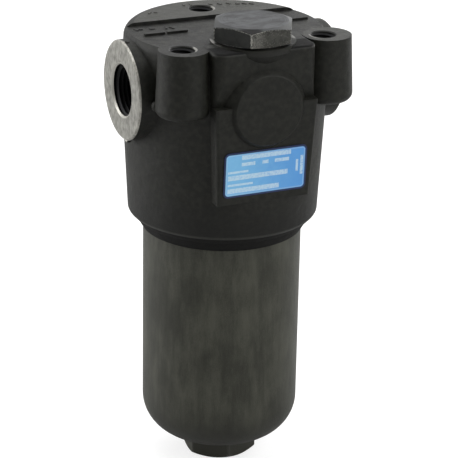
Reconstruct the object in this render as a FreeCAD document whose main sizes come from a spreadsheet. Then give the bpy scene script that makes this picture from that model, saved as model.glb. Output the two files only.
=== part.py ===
"""In-line hydraulic pressure filter: cast head, screwed bowl, pleated element and indicator-port plug.

Row frame: the origin is the centre of the three mounting holes, on the mounting face of the head.
+Z points up out of that face, +X points at the outlet port, and -Y points at the front pad.
The pieces are drawn about the bowl's axis, with height 0 on the axis of the two ports.
"""
import FreeCAD
import Part
import math
import os
import Sketcher

Vector = FreeCAD.Vector
Rotation = FreeCAD.Rotation

# Driving dimensions, in millimetres and degrees. Depths are measured down from the port axis.
DIMENSIONS = [
    ("bolt_circle_inset", 14.2, "circle through the three mounting holes inside the waist, in diameter"),
    ("bowl_axis_offset", 10.2, "from the middle of that circle back to the bowl's axis"),
    ("face_height", 23.0, "mounting face above the port axis"),
    ("waist_radius", 42.1, "casting at the port axis"),
    ("crown_taper", 1.3, "casting at the mounting face, inside the waist"),
    ("crown_round", 4.8, "rounding of the upper edge"),
    ("rim_taper", 2.75, "lower end of the drafted wall, inside the waist"),
    ("rim_round", 2.0, "rounding of that edge"),
    ("skirt_depth", 62.3, "lower end of the casting"),
    ("skirt_cone", 3.5, "height of the cone under the drafted wall"),
    ("collar_height", 4.0, "collar below that cone, which falls in towards the bowl"),
    ("collar_flare", 2.4, "upper end of the collar, outside its lower end"),
    ("mouth_step", 0.5, "lower end of the collar, outside the bowl"),
    ("deck_drop", 1.4, "front half of the top below the mounting face"),
    ("deck_line", 14.0, "step between deck and mounting face, behind the bowl's axis"),
    ("bar_height", 0.9, "raised bars on the deck"),
    ("bar_width", 8.7, "one bar"),
    ("bar_depth", 1.5, "each bar from front to back"),
    ("bar_advance", 1.2, "front edge of the bars, in front of the bowl's axis"),
    ("bar_first", 21.2, "middle of the first bar, to the left of the axis"),
    ("bar_pitch", 9.7, "from one bar to the next"),
    ("bar_right", 32.15, "middle of the single bar on the right"),
    ("port_stand", 2.8, "port faces outside the waist"),
    ("port_boss_radius", 20.3, "cast boss round each port"),
    ("port_edge", 0.6, "chamfer round the machined port face"),
    ("port_thread_radius", 10.48, "G 1/2 thread at its major diameter"),
    ("port_thread_depth", 17.0, "threaded length"),
    ("port_chamfer", 0.7, "lead-in of the port thread"),
    ("passage_radius", 8.5, "oil passages behind the ports"),
    ("inlet_web", 3.0, "blind end of the inlet passage, outside the stem"),
    ("inlet_drop_web", 0.2, "drop hole into the dirty chamber, outside the stem"),
    ("inlet_drop_radius", 6.3, "drop hole"),
    ("bolt_boss_radius", 10.0, "mounting boss at its machined top"),
    ("bolt_boss_flare", 1.3, "mounting boss at its lower end, outside its top"),
    ("bolt_boss_length", 26.9, "mounting boss"),
    ("bolt_boss_round", 3.4, "rounding of its lower end"),
    ("left_boss_shift", 0.5, "left mounting boss, from its hole towards the plug"),
    ("right_boss_shift", 1.6, "right mounting boss, from its hole away from the plug"),
    ("bolt_hole_radius", 5.0, "M10 thread at its major diameter"),
    ("bolt_hole_depth", 18.0, "threaded length"),
    ("bolt_hole_chamfer", 0.4, "lead-in of the mounting threads"),
    ("pad_half_width", 22.0, "front pad at its top"),
    ("pad_taper", 1.9, "each side of the pad at its foot, inside its top"),
    ("pad_top", 1.5, "top of the front pad above the port axis"),
    ("pad_stand", 0.2, "face of the front pad at its top, outside the waist"),
    ("pad_draft", 3.0, "lean of that face, in degrees"),
    ("pad_round", 1.2, "edges of the pad"),
    ("pad_tail", 3.2, "foot of the pad below the label"),
    ("neck_set_back", 0.9, "face above the pad, inside the waist"),
    ("knee_drop", 11.0, "from the mounting face to where that face starts to fall back"),
    ("neck_fall", 2.4, "how far it falls back down to the pad"),
    ("neck_rise", 1.7, "top of the neck, in front of the plug's axis, above the deck"),
    ("neck_round", 5.0, "upright edges of the neck"),
    ("neck_top_round", 1.4, "upper edges of the neck"),
    ("disc_radius", 14.2, "face of the blanked gauge boss"),
    ("disc_flare", 3.8, "foot of its cone, outside its face"),
    ("disc_stand", 1.5, "its face in front of the pad"),
    ("disc_length", 5.5, "length of its cone"),
    ("disc_drop", 0.5, "its middle below the port axis"),
    ("disc_round", 0.6, "edge of its face"),
    ("plug_set_back", 14.35, "indicator port behind the neck's face"),
    ("plug_boss_radius", 17.0, "boss of the indicator port at its machined seat"),
    ("plug_boss_height", 2.4, "upright part of that boss"),
    ("plug_boss_taper", 3.2, "lower end of the cone under it, inside the boss"),
    ("plug_boss_cone", 4.2, "height of that cone"),
    ("seat_rise", 0.9, "machined seat of the plug above the mounting face"),
    ("plug_bore_radius", 10.48, "G 1/2 thread of the indicator port at its major diameter"),
    ("plug_bore_depth", 13.5, "threaded length"),
    ("spigot_bore_radius", 6.5, "bore for the plug's spigot"),
    ("spigot_bore_depth", 27.9, "blind end of that bore below the seat"),
    ("tapping_radius", 1.5, "pressure tappings"),
    ("clean_tapping_depth", 18.0, "tapping from the outlet, below the seat"),
    ("dirty_tapping_shift", 4.65, "tapping from the dirty chamber, behind the indicator port's middle"),
    ("chamber_roof", 11.0, "roof of the dirty chamber"),
    ("chamber_step", 2.0, "dirty chamber inside the bowl's thread"),
    ("chamber_round", 4.0, "corner under the roof"),
    ("stem_rise", 3.5, "lower end of the hollow stem above the thread"),
    ("stem_wall", 4.0, "wall of the stem"),
    ("socket_radius", 11.0, "bore of the stem, which takes the element"),
    ("socket_depth", 12.5, "length of that bore"),
    ("clean_bore_top", 8.0, "blind end of the narrower bore above it, over the port axis"),
    ("seal_step", 1.7, "smooth bore for the bowl's seal, inside the bowl's outside"),
    ("seal_bore_length", 14.3, "that bore"),
    ("thread_step", 1.3, "bowl thread at its major diameter, inside the seal bore"),
    ("thread_length", 20.0, "thread in the head"),
    ("mouth_chamfer", 1.0, "lead-in at the mouth"),
    ("running_clearance", 0.1, "between a screwed or sliding land and its bore"),
    ("shoulder_gap", 0.3, "between the bowl's shoulder and the head"),
    ("bowl_radius", 33.0, "outside of the bowl"),
    ("bowl_length", 94.5, "bowl below the head, down to its flat underside"),
    ("bowl_wall", 8.0, "wall of the bowl"),
    ("bowl_floor_thickness", 8.5, "wall at the lower end"),
    ("bowl_round", 16.0, "outer corner at the lower end"),
    ("bowl_inner_round", 9.0, "inner corner at the lower end"),
    ("nose_gap", 2.0, "upper end of the bowl below the thread's end"),
    ("nose_chamfer", 1.0, "lead-in of the bowl's thread"),
    ("groove_rise", 4.5, "seal groove above the shoulder"),
    ("groove_width", 5.2, "seal groove"),
    ("groove_depth", 3.0, "seal groove, from the seal bore"),
    ("backup_width", 1.7, "backup ring along the axis"),
    ("seal_clearance", 0.05, "between a seal and the faces round it"),
    ("foot_across_flats", 28.0, "hexagon foot of the bowl"),
    ("foot_height", 9.4, "hexagon foot"),
    ("foot_turn", 22.3, "angle of one corner of the foot, in degrees"),
    ("foot_chamfer", 30.0, "slope of its cut-back corners, in degrees"),
    ("plug_across_flats", 30.0, "hexagon of the plug"),
    ("plug_head_height", 7.35, "hexagon of the plug"),
    ("plug_turn", 3.2, "angle of one corner of the plug, in degrees"),
    ("plug_face_inset", 1.1, "round top face of the plug, inside its flats"),
    ("plug_chamfer", 22.0, "slope of its cut-back corners, in degrees"),
    ("underside_slope", 12.0, "slope under the plug's head outside its washer, in degrees"),
    ("washer_gap", 0.65, "between the plug's head and its seat"),
    ("washer_inset", 0.6, "seal washer inside the plug's flats"),
    ("washer_ease", 0.52, "bore of the seal washer round the thread"),
    ("plug_shank_length", 12.5, "threaded shank below the seat"),
    ("spigot_length", 26.9, "lower end of the plug's spigot below the seat"),
    ("spigot_groove_depth", 23.7, "lower edge of the spigot's seal groove below the seat"),
    ("spigot_groove_width", 4.0, "seal groove of the spigot"),
    ("spigot_groove", 1.8, "bottom of that groove, from the spigot's bore"),
    ("spigot_backup_width", 1.3, "backup ring along the axis"),
    ("label_margin", 2.2, "sides of the label plate inside the foot of the pad"),
    ("label_height", 18.9, "label plate"),
    ("label_gap", 2.25, "label below the face of the gauge boss"),
    ("label_thickness", 0.4, "label plate"),
    ("label_corner", 2.2, "corner radius of the label plate"),
    ("cap_space", 2.5, "end caps of the element inside the bowl"),
    ("cap_sheet", 0.6, "sheet thickness of the caps' rims"),
    ("cap_floor", 1.9, "floor thickness of the caps"),
    ("cap_rim_depth", 4.4, "depth of a cap inside"),
    ("bond_depth", 3.4, "resin in each cap"),
    ("cap_gap", 0.5, "between the stem and the upper cap"),
    ("element_gap", 7.5, "between the lower cap and the bowl's floor"),
    ("element_spigot_length", 11.5, "spigot above the upper cap"),
    ("element_spigot_wall", 3.0, "bore of that spigot inside the stem's bore"),
    ("element_groove_rise", 5.0, "seal groove above the cap"),
    ("element_groove_width", 2.4, "seal groove of the element's spigot"),
    ("element_groove", 2.0, "bottom of that groove, from the stem's bore"),
    ("core_radius", 11.0, "outside of the core tube"),
    ("core_sheet", 0.8, "wall of the core tube"),
    ("core_hole_radius", 2.0, "perforation"),
    ("core_hole_margin", 11.0, "first and last row from the ends of the tube"),
    ("valley_gap", 1.1, "inner folds of the pleats outside the core tube"),
    ("peak_gap", 1.0, "outer folds of the pleats inside the caps"),
    ("pleat_pitch", 4.5, "from one outer fold to the next"),
    ("pleat_layer", 0.24, "thickness of one pleated layer"),
    ("pleat_peak_share", 0.36, "share of a pleat that is its outer fold"),
    ("pleat_valley_share", 0.3, "share of a pleat that is its inner fold"),
    ("valve_hole_radius", 6.0, "hole in the lower cap"),
    ("valve_seat_width", 1.4, "conical seat of the bypass valve"),
    ("valve_gap", 0.2, "between the closed poppet and its seat"),
    ("poppet_height", 3.0, "head of the poppet"),
    ("poppet_stem_radius", 2.0, "stem of the poppet"),
    ("poppet_stem_end", 3.0, "stem above the bridge"),
    ("spring_space", 2.0, "between the spring and the stem"),
    ("spring_wire_radius", 0.6, "wire of the bypass spring"),
    ("spring_turns", 5.0, "turns of the bypass spring"),
    ("spring_length", 16.0, "bypass spring with the valve closed"),
    ("bridge_thickness", 2.0, "bridge that holds the spring"),
    ("bridge_hole_radius", 2.3, "flow holes of the bridge"),
    ("bridge_rim", 1.45, "bridge outside its flow holes"),
]
PORT_SIDES = (-1, 1)
MOUNTING_ANGLES = (90, 210, 330)
CORE_ROWS = 11
CORE_HOLE_PAIRS = 4
BRIDGE_HOLES = 4

document = FreeCAD.newDocument("PressureFilter")
sheet = document.addObject("Spreadsheet::Sheet", "Sizes")
for row, (alias, value, note) in enumerate(DIMENSIONS, start=1):
    sheet.set(f"A{row}", note)
    sheet.set(f"B{row}", str(value))
    sheet.setAlias(f"B{row}", alias)
document.recompute()


class Size:
    """A number together with the formula that gives it in the sheet."""

    def __init__(self, value, text):
        self.value = value
        self.text = text

    def __add__(self, other):
        other = as_size(other)
        return Size(self.value + other.value, f"({self.text} + {other.text})")

    def __sub__(self, other):
        other = as_size(other)
        return Size(self.value - other.value, f"({self.text} - {other.text})")

    def __mul__(self, other):
        other = as_size(other)
        return Size(self.value * other.value, f"({self.text} * {other.text})")

    def __truediv__(self, other):
        other = as_size(other)
        return Size(self.value / other.value, f"({self.text} / {other.text})")

    def __neg__(self):
        return Size(-self.value, f"(-{self.text})")

    def tan(self):
        return Size(math.tan(math.radians(self.value)), f"tan({self.text})")


def as_size(number):
    """A plain number as a Size, so that both can stand in one formula."""
    if isinstance(number, Size):
        return number
    return Size(float(number), f"{float(number)!r}")


class Sheet:
    """The driving dimensions by name."""

    def __init__(self, rows):
        for alias, value, _ in rows:
            setattr(self, alias, Size(value, f"Sizes.{alias}"))


ZERO = as_size(0)
HEX_CORNER = as_size(math.sqrt(3))
d = Sheet(DIMENSIONS)

# Places that follow from the driving dimensions: first the casting, then what it holds.
d.bolt_circle = d.waist_radius * 2 - d.bolt_circle_inset
d.crown_radius = d.waist_radius - d.crown_taper
d.rim_radius = d.waist_radius - d.rim_taper
d.collar_depth = d.skirt_depth - d.collar_height
d.rim_depth = d.collar_depth - d.skirt_cone
d.mouth_radius = d.bowl_radius + d.mouth_step
d.collar_radius = d.mouth_radius + d.collar_flare
d.deck_height = d.face_height - d.deck_drop
d.port_face = d.waist_radius + d.port_stand
d.bolt_boss_foot_radius = d.bolt_boss_radius + d.bolt_boss_flare
d.bolt_boss_foot = d.face_height - d.bolt_boss_length
d.neck_front = d.waist_radius - d.neck_set_back
d.neck_foot_front = d.neck_front - d.neck_fall
d.neck_knee = d.face_height - d.knee_drop
d.neck_top = d.deck_height + d.neck_rise
d.disc_foot_radius = d.disc_radius + d.disc_flare
d.label_depth = d.disc_drop + d.disc_radius + d.label_gap + d.label_height / 2
d.pad_front = d.waist_radius + d.pad_stand
d.pad_depth = d.label_depth + d.label_height / 2 + d.pad_tail
d.pad_foot_half_width = d.pad_half_width - d.pad_taper
d.label_width = (d.pad_foot_half_width - d.label_margin) * 2
d.disc_face = d.pad_front + d.disc_stand
d.plug_offset = d.neck_front - d.plug_set_back
d.seat_height = d.face_height + d.seat_rise
d.plug_boss_low = d.seat_height - d.plug_boss_height
d.seal_bore_radius = d.bowl_radius - d.seal_step
d.seal_bore_top = d.skirt_depth - d.seal_bore_length
d.thread_radius = d.seal_bore_radius - d.thread_step
d.thread_top = d.seal_bore_top - d.thread_length
d.chamber_radius = d.thread_radius - d.chamber_step
d.stem_radius = d.socket_radius + d.stem_wall
d.stem_depth = d.thread_top - d.stem_rise
d.socket_top = d.stem_depth - d.socket_depth

# The bowl.
d.shoulder = d.skirt_depth + d.shoulder_gap
d.bowl_bore_radius = d.bowl_radius - d.bowl_wall
d.bowl_nose = d.thread_top + d.nose_gap
d.bowl_floor = d.skirt_depth + d.bowl_length
d.bowl_inside = d.bowl_floor - d.bowl_floor_thickness
d.groove_bottom_radius = d.seal_bore_radius - d.groove_depth
d.groove_low = d.groove_rise - d.shoulder

# The plug and its rings.
d.spigot_groove_radius = d.spigot_bore_radius - d.spigot_groove
d.spigot_groove_low = d.seat_height - d.spigot_groove_depth
d.washer_radius = d.plug_across_flats / 2 - d.washer_inset
d.washer_bore_radius = d.plug_bore_radius + d.washer_ease

# The element, from the top of its upper cap to the underside of its lower cap, and its bypass valve.
d.cap_top = -(d.stem_depth + d.cap_gap)
d.core_top = d.cap_top - d.cap_floor
d.cap_under = d.element_gap - d.bowl_inside
d.core_bottom = d.cap_under + d.cap_floor
d.core_hole_pitch = (d.core_top - d.core_bottom - d.core_hole_margin * 2) / (CORE_ROWS - 1)
d.cap_radius = d.bowl_bore_radius - d.cap_space
d.element_bore_radius = d.socket_radius - d.element_spigot_wall
d.element_groove_radius = d.socket_radius - d.element_groove
d.pleat_valley_radius = d.core_radius + d.valley_gap
d.pleat_peak_radius = d.cap_radius - d.peak_gap
d.poppet_under = d.core_bottom - d.valve_seat_width + d.valve_gap * 2
d.poppet_top = d.poppet_under + d.poppet_height
d.bridge_low = d.poppet_top + d.spring_length
d.bridge_radius = d.core_radius - d.core_sheet - d.seal_clearance
d.spring_radius = d.poppet_stem_radius + d.spring_space + d.spring_wire_radius
d.bridge_hole_circle = d.bridge_radius - d.bridge_rim - d.bridge_hole_radius


def bind(thing, path, size):
    """Tie one property of an object to its formula."""
    thing.setExpression(path, as_size(size).text)


def new_body(label, back=ZERO, up=ZERO):
    """An empty body on the bowl's axis, moved back and up from the port axis."""
    body = document.addObject("PartDesign::Body", label)
    body.Label = label
    bind(body, "Placement.Base.y", d.bowl_axis_offset + back)
    bind(body, "Placement.Base.z", up - d.face_height)
    return body


def sketch_on(body, name, role, lift=None):
    """A sketch on one of the body's own origin planes, lifted along its normal."""
    plane = next(f for f in body.Origin.OriginFeatures if f.Role == role)
    sketch = body.newObject("Sketcher::SketchObject", name)
    sketch.AttachmentSupport = (plane, [""])
    sketch.MapMode = "FlatFace"
    if lift is not None:
        bind(sketch, "AttachmentOffset.Base.z", lift)
    return sketch


def hold_point(sketch, index, x, y):
    """Hold the first point of a line, or the centre of a circle, at its distances from the origin."""
    point = 3 if isinstance(sketch.Geometry[index], Part.Circle) else 1
    for kind, axis, size in (("DistanceX", -2, x), ("DistanceY", -1, y)):
        if size is ZERO:
            sketch.addConstraint(Sketcher.Constraint("PointOnObject", index, point, axis))
        else:
            held = sketch.addConstraint(Sketcher.Constraint(kind, -1, 1, index, point, size.value))
            bind(sketch, f"Constraints[{held}]", size)


def polygon(sketch, corners):
    """A closed outline of straight lines through corners given as pairs of sizes."""
    corners = [(as_size(x) if x != 0 else ZERO, as_size(y) if y != 0 else ZERO) for x, y in corners]
    first = sketch.GeometryCount
    count = len(corners)
    spots = [Vector(x.value, y.value, 0) for x, y in corners]
    for i in range(count):
        sketch.addGeometry(Part.LineSegment(spots[i], spots[(i + 1) % count]), False)
    for i in range(count):
        sketch.addConstraint(Sketcher.Constraint("Coincident", first + i, 2, first + (i + 1) % count, 1))
    for i, (x, y) in enumerate(corners):
        hold_point(sketch, first + i, x, y)


def circle(sketch, x, y, radius):
    """A circle held at its centre and by its radius."""
    round_line = Part.Circle(Vector(x.value, y.value, 0), Vector(0, 0, 1), radius.value)
    index = sketch.addGeometry(round_line, False)
    hold_point(sketch, index, x, y)
    held = sketch.addConstraint(Sketcher.Constraint("Radius", index, radius.value))
    bind(sketch, f"Constraints[{held}]", radius)


def turned(body, name, corners, cut=False):
    """A full turn of an outline in the XZ plane about the body's Z axis, added or cut."""
    sketch = sketch_on(body, name + "_outline", "XZ_Plane")
    polygon(sketch, corners)
    feature = body.newObject("PartDesign::Groove" if cut else "PartDesign::Revolution", name)
    feature.Profile = sketch
    feature.ReferenceAxis = (sketch, ["V_Axis"])
    feature.Angle = 360
    return feature


def raised(body, name, sketch, length, cut=False, both_ways=False, other_way=False):
    """A sketch raised into a pad, or sunk as a pocket, by a length."""
    feature = body.newObject("PartDesign::Pocket" if cut else "PartDesign::Pad", name)
    feature.Profile = sketch
    bind(feature, "Length", length)
    feature.SideType = "Symmetric" if both_ways else "One side"
    feature.Reversed = other_way
    return feature


def primitive(body, kind, name, place, sizes, rotation=None):
    """A PartDesign primitive, such as AdditiveCone, with its sizes and its place bound to the sheet."""
    feature = body.newObject("PartDesign::" + kind, name)
    if rotation is not None:
        feature.Placement = FreeCAD.Placement(Vector(0, 0, 0), rotation)
    for path, size in sizes.items():
        bind(feature, path, size)
    for axis, size in zip("xyz", place):
        if size is not ZERO:
            bind(feature, "Placement.Base." + axis, size)
    return feature


def edges_where(feature, test):
    """Names of the edges of a feature's shape that pass a test."""
    document.recompute()
    return [f"Edge{i}" for i, edge in enumerate(feature.Shape.Edges, start=1) if test(edge)]


def softened(body, kind, name, test, size):
    """A fillet or chamfer on every edge of the body's tip that passes a test."""
    base = body.Tip
    names = edges_where(base, test)
    if not names:
        raise ValueError(f"{body.Label}: no edge found for {name}")
    feature = body.newObject("PartDesign::" + kind, name)
    feature.Base = (base, names)
    bind(feature, "Radius" if kind == "Fillet" else "Size", size)
    return feature


def near(value, size, slack=0.05):
    """True where a number lies on a size."""
    return abs(value - as_size(size).value) < slack


def ring_edge(edge, radius, height, axis="z"):
    """True for a full circle of that radius whose centre lies at that height along an axis."""
    curve = edge.Curve
    if not isinstance(curve, Part.Circle):
        return False
    centre = getattr(curve.Center, axis)
    return near(curve.Radius, radius) and near(centre, height)


def hexagon(body, name, across_flats, bottom, height, turn, face_inset, slope, cut_at_top):
    """A hexagon about the body's axis whose end corners are cut back to a round face inside the flats."""
    prism = primitive(body, "AdditivePrism", name, (ZERO, ZERO, bottom),
                      {"Circumradius": across_flats / HEX_CORNER, "Height": height},
                      Rotation(Vector(0, 0, 1), turn.value))
    prism.Polygon = 6
    bind(prism, "Placement.Rotation.Angle", turn)
    end = bottom + height if cut_at_top else bottom
    face = across_flats / 2 - face_inset
    reach = across_flats
    fall = (reach - face) * slope.tan()
    turned(body, name + "_corners", [(face, end), (reach, end),
                                     (reach, end - fall if cut_at_top else end + fall)], cut=True)


def mounting_places():
    """Places of the three mounting holes, from the bowl's axis."""
    places = []
    for angle in MOUNTING_ANGLES:
        across = d.bolt_circle / 2 * math.cos(math.radians(angle)) if angle != 90 else ZERO
        along = d.bolt_circle / 2 * math.sin(math.radians(angle)) - d.bowl_axis_offset
        places.append((across, along))
    return places


def filter_head():
    """The casting: body, ports, mounting bosses, front pad with its disc, plug boss, and all bores."""
    body = new_body("filter_head")
    turned(body, "casting", [
        (0, -d.skirt_depth), (d.mouth_radius, -d.skirt_depth), (d.collar_radius, -d.collar_depth),
        (d.rim_radius, -d.rim_depth), (d.waist_radius, 0), (d.crown_radius, d.face_height),
        (0, d.face_height)])
    softened(body, "Fillet", "rim_edge", lambda e: ring_edge(e, d.rim_radius, -d.rim_depth), d.rim_round)
    softened(body, "Fillet", "crown_edge", lambda e: ring_edge(e, d.crown_radius, d.face_height),
             d.crown_round)

    outline = sketch_on(body, "deck_outline", "XY_Plane", d.face_height)
    reach = d.plug_offset + d.plug_boss_radius + d.waist_radius
    polygon(outline, [(-reach, -reach), (reach, -reach), (reach, d.deck_line), (-reach, d.deck_line)])
    raised(body, "deck", outline, d.deck_drop, cut=True)

    outline = sketch_on(body, "neck_outline", "XZ_Plane")
    polygon(outline, [(-d.pad_half_width, d.pad_top), (d.pad_half_width, d.pad_top),
                      (d.pad_half_width, d.deck_height), (-d.pad_half_width, d.deck_height)])
    raised(body, "neck", outline, d.neck_front)
    outline = sketch_on(body, "neck_crest_outline", "XZ_Plane", d.plug_offset)
    polygon(outline, [(-d.pad_half_width, d.neck_knee), (d.pad_half_width, d.neck_knee),
                      (d.pad_half_width, d.neck_top), (-d.pad_half_width, d.neck_top)])
    raised(body, "neck_crest", outline, d.plug_set_back)
    softened(body, "Fillet", "neck_edges", lambda e: near(e.BoundBox.YMax, -d.neck_front)
             and near(e.BoundBox.ZLength, d.neck_top - d.pad_top), d.neck_round)
    outline = sketch_on(body, "neck_fall_outline", "YZ_Plane")
    polygon(outline, [(-reach, d.neck_knee), (-d.neck_front, d.neck_knee), (-d.neck_foot_front, d.pad_top),
                      (-reach, d.pad_top)])
    raised(body, "neck_fall", outline, reach * 2, cut=True, both_ways=True)

    def neck_top_edge(edge):
        box = edge.BoundBox
        level = near(box.ZMin, d.neck_top) and near(box.ZMax, d.neck_top)
        in_front = box.YMin < -d.plug_offset.value - 0.1
        return level and in_front and abs(box.Center.x) < d.pad_half_width.value + 0.1

    softened(body, "Fillet", "neck_top_edges", neck_top_edge, d.neck_top_round)
    primitive(body, "AdditiveCylinder", "plug_boss", (ZERO, -d.plug_offset, d.plug_boss_low),
              {"Radius": d.plug_boss_radius, "Height": d.plug_boss_height})
    primitive(body, "AdditiveCone", "plug_boss_foot",
              (ZERO, -d.plug_offset, d.plug_boss_low - d.plug_boss_cone),
              {"Radius1": d.plug_boss_radius - d.plug_boss_taper, "Radius2": d.plug_boss_radius,
               "Height": d.plug_boss_cone})

    lean_end = d.pad_depth + 1
    pad_foot_front = d.pad_front - (d.pad_top + lean_end) * d.pad_draft.tan()
    outline = sketch_on(body, "pad_outline", "XZ_Plane")
    polygon(outline, [(-d.pad_foot_half_width, -d.pad_depth), (d.pad_foot_half_width, -d.pad_depth),
                      (d.pad_half_width, d.pad_top), (-d.pad_half_width, d.pad_top)])
    raised(body, "pad", outline, d.pad_front)
    outline = sketch_on(body, "pad_lean_outline", "YZ_Plane")
    polygon(outline, [(-d.pad_front, d.pad_top), (-pad_foot_front, -lean_end), (-reach, -lean_end),
                      (-reach, d.pad_top)])
    raised(body, "pad_lean", outline, reach * 2, cut=True, both_ways=True)

    def pad_edge(edge):
        box = edge.BoundBox
        on_side = abs(box.Center.x) > d.pad_foot_half_width.value - 0.1
        upright = box.ZLength > d.pad_depth.value * 0.9
        return on_side and upright and box.YMax < -pad_foot_front.value + 0.5

    softened(body, "Fillet", "pad_edges", pad_edge, d.pad_round)

    primitive(body, "AdditiveCone", "disc", (ZERO, d.disc_length - d.disc_face, -d.disc_drop),
              {"Radius1": d.disc_foot_radius, "Radius2": d.disc_radius, "Height": d.disc_length},
              Rotation(Vector(1, 0, 0), 90))
    softened(body, "Fillet", "disc_edge", lambda e: ring_edge(e, d.disc_radius, -d.disc_face, "y"),
             d.disc_round)

    outline = sketch_on(body, "port_outline", "YZ_Plane")
    circle(outline, ZERO, ZERO, d.port_boss_radius)
    raised(body, "port_bosses", outline, d.port_face * 2, both_ways=True)
    softened(body, "Chamfer", "port_edges",
             lambda e: any(ring_edge(e, d.port_boss_radius, d.port_face * s, "x") for s in PORT_SIDES),
             d.port_edge)

    for number, (across, along) in enumerate(mounting_places(), start=1):
        if across is not ZERO:
            shift = d.right_boss_shift if across.value > 0 else d.left_boss_shift
            primitive(body, "AdditiveCone", f"mounting_boss_{number}",
                      (across + shift, along, d.bolt_boss_foot),
                      {"Radius1": d.bolt_boss_foot_radius, "Radius2": d.bolt_boss_radius,
                       "Height": d.bolt_boss_length})

    def boss_foot(edge):
        curve = edge.Curve
        return isinstance(curve, Part.Circle) and near(curve.Radius, d.bolt_boss_foot_radius) and \
            near(curve.Center.z, d.bolt_boss_foot)

    softened(body, "Fillet", "boss_feet", boss_foot, d.bolt_boss_round)

    for number, middle in enumerate((-(d.bar_first + d.bar_pitch), -d.bar_first, d.bar_right), start=1):
        primitive(body, "AdditiveBox", f"deck_bar_{number}",
                  (middle - d.bar_width / 2, -d.bar_advance, d.deck_height - 1),
                  {"Length": d.bar_width, "Width": d.bar_depth, "Height": d.bar_height + 1})

    cut_bowl_socket(body)
    cut_passages(body)
    cut_indicator_port(body)
    cut_mounting_holes(body)
    return body


def cut_bowl_socket(body):
    """Mouth, seal bore, thread bore and dirty chamber, left solid round the hollow stem."""
    below = d.skirt_depth + 1
    lead = d.mouth_chamfer
    turned(body, "bowl_socket", [
        (d.stem_radius, -d.chamber_roof), (d.chamber_radius, -d.chamber_roof),
        (d.chamber_radius, -d.thread_top), (d.thread_radius, -d.thread_top),
        (d.thread_radius, -d.seal_bore_top), (d.seal_bore_radius, -d.seal_bore_top),
        (d.seal_bore_radius, lead - d.skirt_depth), (d.seal_bore_radius + lead, -d.skirt_depth),
        (d.seal_bore_radius + lead, -below), (0, -below), (0, -d.stem_depth),
        (d.stem_radius, -d.stem_depth)], cut=True)
    softened(body, "Fillet", "chamber_corner",
             lambda e: ring_edge(e, d.chamber_radius, -d.chamber_roof), d.chamber_round)
    turned(body, "element_socket", [
        (0, -(d.stem_depth + 1)), (d.socket_radius, -(d.stem_depth + 1)), (d.socket_radius, -d.socket_top),
        (d.passage_radius, -d.socket_top), (d.passage_radius, d.clean_bore_top), (0, d.clean_bore_top)],
        cut=True)


def cut_passages(body):
    """Port threads with their lead-in, the passages behind them and the drop into the dirty chamber."""
    for name, side in zip(("inlet", "outlet"), PORT_SIDES):
        turn = Rotation(Vector(0, 1, 0), 90 * side)
        over = d.port_face + 1
        mouth = d.port_thread_radius + d.port_chamfer
        primitive(body, "SubtractiveCylinder", name + "_thread",
                  ((d.port_face - d.port_thread_depth) * side, ZERO, ZERO),
                  {"Radius": d.port_thread_radius, "Height": d.port_thread_depth + 1}, turn)
        primitive(body, "SubtractiveCone", name + "_lead",
                  ((d.port_face - d.port_chamfer) * side, ZERO, ZERO),
                  {"Radius1": d.port_thread_radius, "Radius2": mouth, "Height": d.port_chamfer}, turn)
        start = d.stem_radius + d.inlet_web if name == "inlet" else ZERO
        primitive(body, "SubtractiveCylinder", name + "_passage", (start * side, ZERO, ZERO),
                  {"Radius": d.passage_radius, "Height": over - start}, turn)
    place = d.stem_radius + d.inlet_drop_web + d.inlet_drop_radius
    primitive(body, "SubtractiveCylinder", "inlet_drop", (-place, ZERO, -(d.chamber_roof + 1)),
              {"Radius": d.inlet_drop_radius, "Height": d.chamber_roof + 1})


def cut_indicator_port(body):
    """The plug's stepped bore, with a tapping from each side of the element."""
    primitive(body, "SubtractiveCylinder", "plug_thread",
              (ZERO, -d.plug_offset, d.seat_height - d.plug_bore_depth),
              {"Radius": d.plug_bore_radius, "Height": d.plug_bore_depth + 1})
    primitive(body, "SubtractiveCylinder", "spigot_bore",
              (ZERO, -d.plug_offset, d.seat_height - d.spigot_bore_depth),
              {"Radius": d.spigot_bore_radius, "Height": d.spigot_bore_depth})
    primitive(body, "SubtractiveCylinder", "clean_tapping",
              (ZERO, -d.plug_offset, d.seat_height - d.clean_tapping_depth),
              {"Radius": d.tapping_radius, "Height": d.plug_offset - d.passage_radius + 3},
              Rotation(Vector(1, 0, 0), -90))
    primitive(body, "SubtractiveCylinder", "dirty_tapping",
              (ZERO, d.dirty_tapping_shift - d.plug_offset, -(d.chamber_roof + 1)),
              {"Radius": d.tapping_radius, "Height": d.chamber_roof + 1})


def cut_mounting_holes(body):
    """The three tapped holes with their lead-ins."""
    for number, (across, along) in enumerate(mounting_places(), start=1):
        primitive(body, "SubtractiveCylinder", f"mounting_hole_{number}",
                  (across, along, d.face_height - d.bolt_hole_depth),
                  {"Radius": d.bolt_hole_radius, "Height": d.bolt_hole_depth + 1})
        primitive(body, "SubtractiveCone", f"mounting_lead_{number}",
                  (across, along, d.face_height - d.bolt_hole_chamfer),
                  {"Radius1": d.bolt_hole_radius, "Radius2": d.bolt_hole_radius + d.bolt_hole_chamfer,
                   "Height": d.bolt_hole_chamfer})


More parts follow.
